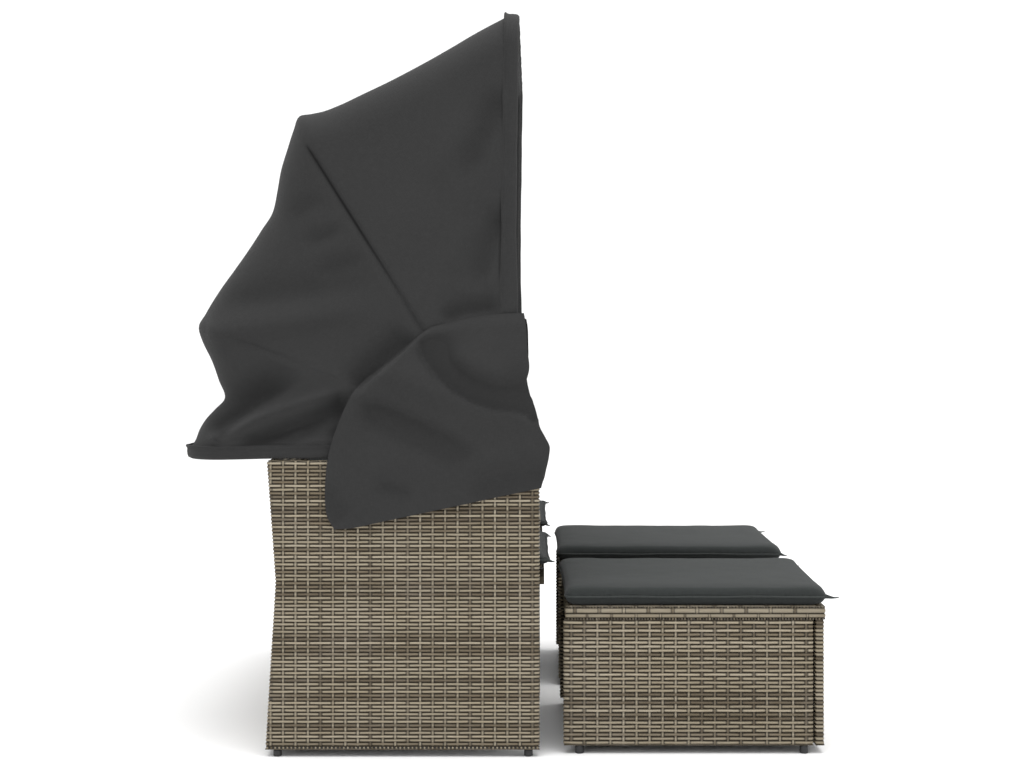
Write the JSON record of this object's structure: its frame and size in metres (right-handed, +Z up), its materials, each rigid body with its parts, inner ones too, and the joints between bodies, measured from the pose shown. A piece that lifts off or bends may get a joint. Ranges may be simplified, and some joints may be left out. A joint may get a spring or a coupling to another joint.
{
  "type": "outdoor daybed with canopy",
  "caption": "Wicker garden sofa for two with a fan-folding fabric canopy on steel hoops, a centre console and footstools that slide under the seats.",
  "frame": {"origin": "on the floor, under the centre of the part's box, with the canopy open and both footstools drawn out", "axes": "+X the way the seats face, +Z up, +Y towards the sitter's left; the part is symmetric about Y = 0"},
  "size_m": [1.437, 1.297, 1.658],
  "materials": {
    "wicker": "flat woven synthetic wicker, grey and brown streaks, satin",
    "frame_steel": "black powder coat, fine texture",
    "zinc_steel": "zinc plated, dull",
    "canopy_fabric": "dark grey woven polyester, matte",
    "pad_fabric": "dark grey woven polyester, matte",
    "foot_plastic": "black moulded plastic"
  },
  "bodies": {
    "sofa": {"arm_weave_right": "wicker", "arm_frame_right": "frame_steel", "sofa_foot_front_right": "foot_plastic", "sofa_foot_rear_right": "foot_plastic", "arm_weave_left": "wicker", "arm_frame_left": "frame_steel", "sofa_foot_front_left": "foot_plastic", "sofa_foot_rear_left": "foot_plastic", "back_weave": "wicker", "back_frame": "frame_steel", "seat_weave_right": "wicker", "seat_frame_right": "frame_steel", "seat_cushion_right": "pad_fabric", "back_cushion_right": "pad_fabric", "seat_weave_left": "wicker", "seat_frame_left": "frame_steel", "seat_cushion_left": "pad_fabric", "back_cushion_left": "pad_fabric", "console_box": "wicker", "console_top": "wicker", "canopy_bracket_right": "frame_steel", "pivot_bolt_right": "zinc_steel", "canopy_bracket_left": "frame_steel", "pivot_bolt_left": "zinc_steel", "hoop_4_leg_right": "frame_steel", "hoop_4_leg_left": "frame_steel", "hoop_4_crossbar": "frame_steel", "canopy_flap_right": "canopy_fabric", "canopy_flap_left": "canopy_fabric"},
    "hoop_3": {"hoop_3_leg_right": "frame_steel", "hoop_3_leg_left": "frame_steel", "hoop_3_crossbar": "frame_steel", "canopy_cloth_rear": "canopy_fabric"},
    "hoop_2": {"hoop_2_leg_right": "frame_steel", "hoop_2_leg_left": "frame_steel", "hoop_2_crossbar": "frame_steel", "canopy_cloth_middle": "canopy_fabric"},
    "hoop_1": {"hoop_1_leg_right": "frame_steel", "hoop_1_leg_left": "frame_steel", "hoop_1_crossbar": "frame_steel", "canopy_cloth_front": "canopy_fabric"},
    "footstool_right": {"footstool_right_panel_outer": "wicker", "footstool_right_panel_inner": "wicker", "footstool_right_panel_front": "wicker", "footstool_right_lid": "wicker", "footstool_right_cushion": "pad_fabric", "footstool_right_foot_rear_outer": "foot_plastic", "footstool_right_foot_rear_inner": "foot_plastic", "footstool_right_foot_front_outer": "foot_plastic", "footstool_right_foot_front_inner": "foot_plastic"},
    "footstool_left": {"footstool_left_panel_outer": "wicker", "footstool_left_panel_inner": "wicker", "footstool_left_panel_front": "wicker", "footstool_left_lid": "wicker", "footstool_left_cushion": "pad_fabric", "footstool_left_foot_rear_outer": "foot_plastic", "footstool_left_foot_rear_inner": "foot_plastic", "footstool_left_foot_front_outer": "foot_plastic", "footstool_left_foot_front_inner": "foot_plastic"}
  },
  "joints": [
    {"name": "canopy_fold_rear", "type": "hinge", "parent": "sofa", "child": "hoop_3", "pos_m": [0.0025, 0, 0.678], "axis": [0, -1, 0], "range_deg": [0, 14.1], "deforming": ["canopy_cloth_rear", "canopy_flap_right", "canopy_flap_left"]},
    {"name": "canopy_fold_middle", "type": "hinge", "parent": "hoop_3", "child": "hoop_2", "pos_m": [0.0025, 0, 0.678], "axis": [0, -1, 0], "range_deg": [0, 24.5], "deforming": ["canopy_cloth_middle"]},
    {"name": "canopy_fold_front", "type": "hinge", "parent": "hoop_2", "child": "hoop_1", "pos_m": [0.0025, 0, 0.678], "axis": [0, -1, 0], "range_deg": [0, 22.1], "deforming": ["canopy_cloth_front"]},
    {"name": "footstool_slide_right", "type": "slide", "parent": "sofa", "child": "footstool_right", "axis": [-1, 0, 0], "range_m": [0, 0.609]},
    {"name": "footstool_slide_left", "type": "slide", "parent": "sofa", "child": "footstool_left", "axis": [-1, 0, 0], "range_m": [0, 0.609]}
  ],
  "couplings": [
    {"joint": "canopy_fold_middle", "follows": "canopy_fold_rear", "ratio": 1.7305},
    {"joint": "canopy_fold_front", "follows": "canopy_fold_rear", "ratio": 1.56}
  ]
}
